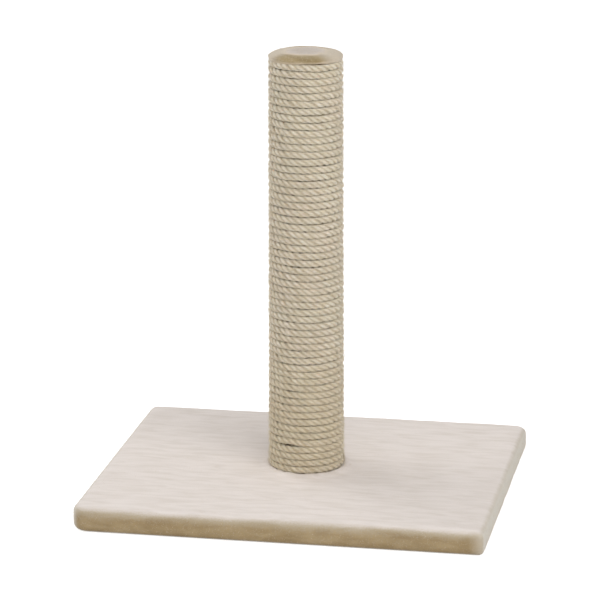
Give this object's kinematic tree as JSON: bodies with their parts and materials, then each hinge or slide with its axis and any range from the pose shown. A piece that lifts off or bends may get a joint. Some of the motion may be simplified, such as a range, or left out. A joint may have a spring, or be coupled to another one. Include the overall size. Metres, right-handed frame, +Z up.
{
  "type": "scratching post",
  "caption": "Upright rope-wound scratching post with a plush cap, clamped by a screw from below to a plush-covered rectangular base.",
  "frame": {"origin": "middle of the base's underside, on the floor", "axes": "+Z up along the post, +X along the base's long side to the right, +Y to the back"},
  "size_m": [0.4, 0.34, 0.444],
  "materials": {
    "plush": "short cream pile",
    "sisal": "three-strand laid rope, dry fibres",
    "chipboard": "raw pressed chips",
    "plug_wood": "sawn softwood",
    "cardboard": "spiral-wound kraft card",
    "zinc_steel": "bright zinc",
    "staple_wire": "galvanised wire"
  },
  "bodies": {
    "base": {"base_board": "chipboard", "base_cover": "plush", "base_cover_staples": "staple_wire", "clamp_washer": "zinc_steel"},
    "bolt": {"clamp_bolt": "zinc_steel"},
    "post": {"post_tube": "cardboard", "sisal_rope": "sisal", "foot_plug": "plug_wood", "foot_plug_staples": "staple_wire", "tee_nut": "zinc_steel", "top_plug": "plug_wood", "top_plug_staples": "staple_wire", "cap_disc": "chipboard", "cap_screws": "zinc_steel", "cap_cover": "plush", "cap_cover_staples": "staple_wire", "rope_foot_staples": "staple_wire", "rope_top_staples": "staple_wire"}
  },
  "joints": [
    {"name": "bolt_turn", "type": "hinge", "parent": "base", "child": "bolt", "pos_m": [0, 0, 0.0105], "axis": [0, 0, -1], "range_deg": [0, 4320]},
    {"name": "post_rise", "type": "slide", "parent": "base", "child": "post", "axis": [0, 0, 1], "range_m": [0, 0.015]}
  ],
  "couplings": [
    {"joint": "bolt_turn", "follows": "post_rise", "rad_per_m": 5026.5}
  ]
}
